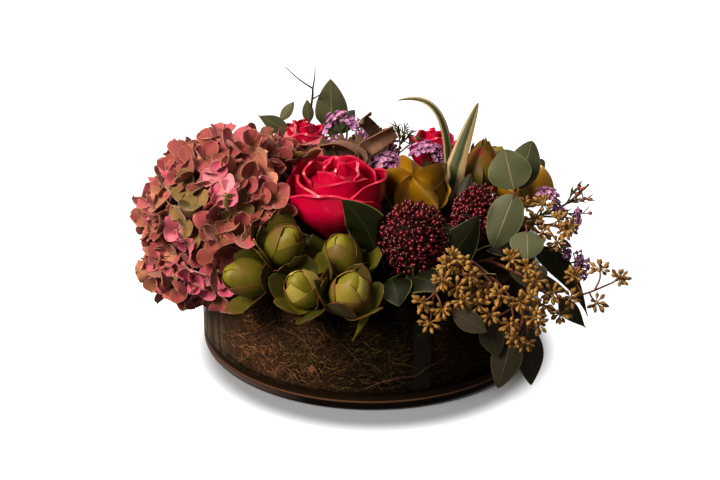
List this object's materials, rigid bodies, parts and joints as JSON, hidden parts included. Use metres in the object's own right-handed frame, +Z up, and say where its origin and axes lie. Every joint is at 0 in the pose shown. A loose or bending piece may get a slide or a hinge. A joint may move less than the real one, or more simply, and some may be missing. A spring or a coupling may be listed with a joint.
{
  "type": "floral table centerpiece",
  "caption": "Low round glass bowl lined with moss, holding a domed arrangement of hydrangea, waxed roses, leucadendron heads, skimmia buds, seeded eucalyptus and leaves.",
  "frame": {"origin": "centre of the bowl's foot, on the surface it stands on", "axes": "+Z up; -Y towards the front that the picture shows, +X to the picture's right"},
  "size_m": [0.3464, 0.301, 0.1914],
  "materials": {
    "glass": "clear, smooth, slightly green at the thick base",
    "moss": "dry brown and olive moss, rough and fibrous",
    "foam": "dark green, matt, fine open pores",
    "red_wax": "petals dipped in glossy crimson wax",
    "olive_wax": "petals dipped in glossy olive-gold wax",
    "green_bract": "satin olive green, flushed red at the edges",
    "dark_leaf": "dark green, leathery, low gloss",
    "berry": "dark red buds with a small highlight",
    "striped_leaf": "cream with green stripes, satin",
    "grey_leaf": "matt grey-green with a pale midrib",
    "pods": "matt golden pods on red-brown twigs",
    "lilac": "papery lilac cups on green stems",
    "dried": "dry, matt, brown, finely ribbed",
    "stem": "woody green-brown, matt",
    "pink_petal": "soft matt petals, dusty pink with olive and tan"
  },
  "bodies": {
    "root": {"bare_twig": "stem", "bowl": "glass", "dark_leaf": "dark_leaf", "dried_curl_1": "dried", "dried_curl_2": "dried", "dried_curl_3": "dried", "eucalyptus_leaf_1": "grey_leaf", "eucalyptus_leaf_2": "grey_leaf", "eucalyptus_leaf_3": "grey_leaf", "eucalyptus_leaf_4": "grey_leaf", "eucalyptus_leaf_5": "grey_leaf", "eucalyptus_leaf_6": "grey_leaf", "eucalyptus_leaf_7": "grey_leaf", "eucalyptus_seed_1": "pods", "eucalyptus_seed_2": "pods", "eucalyptus_seed_3": "pods", "eucalyptus_seed_4": "pods", "foam": "foam", "hydrangea_head": "pink_petal", "hydrangea_stem": "stem", "leucadendron_1": "green_bract", "leucadendron_2": "green_bract", "leucadendron_3": "green_bract", "leucadendron_4": "green_bract", "leucadendron_5": "green_bract", "leucadendron_6": "green_bract", "leucadendron_7": "green_bract", "leucadendron_8": "green_bract", "moss_lining": "moss", "rose_olive_1": "olive_wax", "rose_olive_1_stem": "stem", "rose_olive_2": "olive_wax", "rose_olive_2_stem": "stem", "rose_red_1": "red_wax", "rose_red_1_stem": "stem", "rose_red_2": "red_wax", "rose_red_2_stem": "stem", "rose_red_3": "red_wax", "rose_red_3_stem": "stem", "skimmia_1_buds": "berry", "skimmia_1_leaves": "dark_leaf", "skimmia_2_buds": "berry", "skimmia_2_leaves": "dark_leaf", "skimmia_3_buds": "berry", "skimmia_3_leaves": "dark_leaf", "statice_1": "lilac", "statice_2": "lilac", "statice_3": "lilac", "statice_4": "lilac", "statice_5": "lilac", "statice_6": "lilac", "striped_leaf_1": "striped_leaf", "striped_leaf_2": "striped_leaf", "waxflower_1": "stem", "waxflower_2": "stem"}
  },
  "joints": []
}
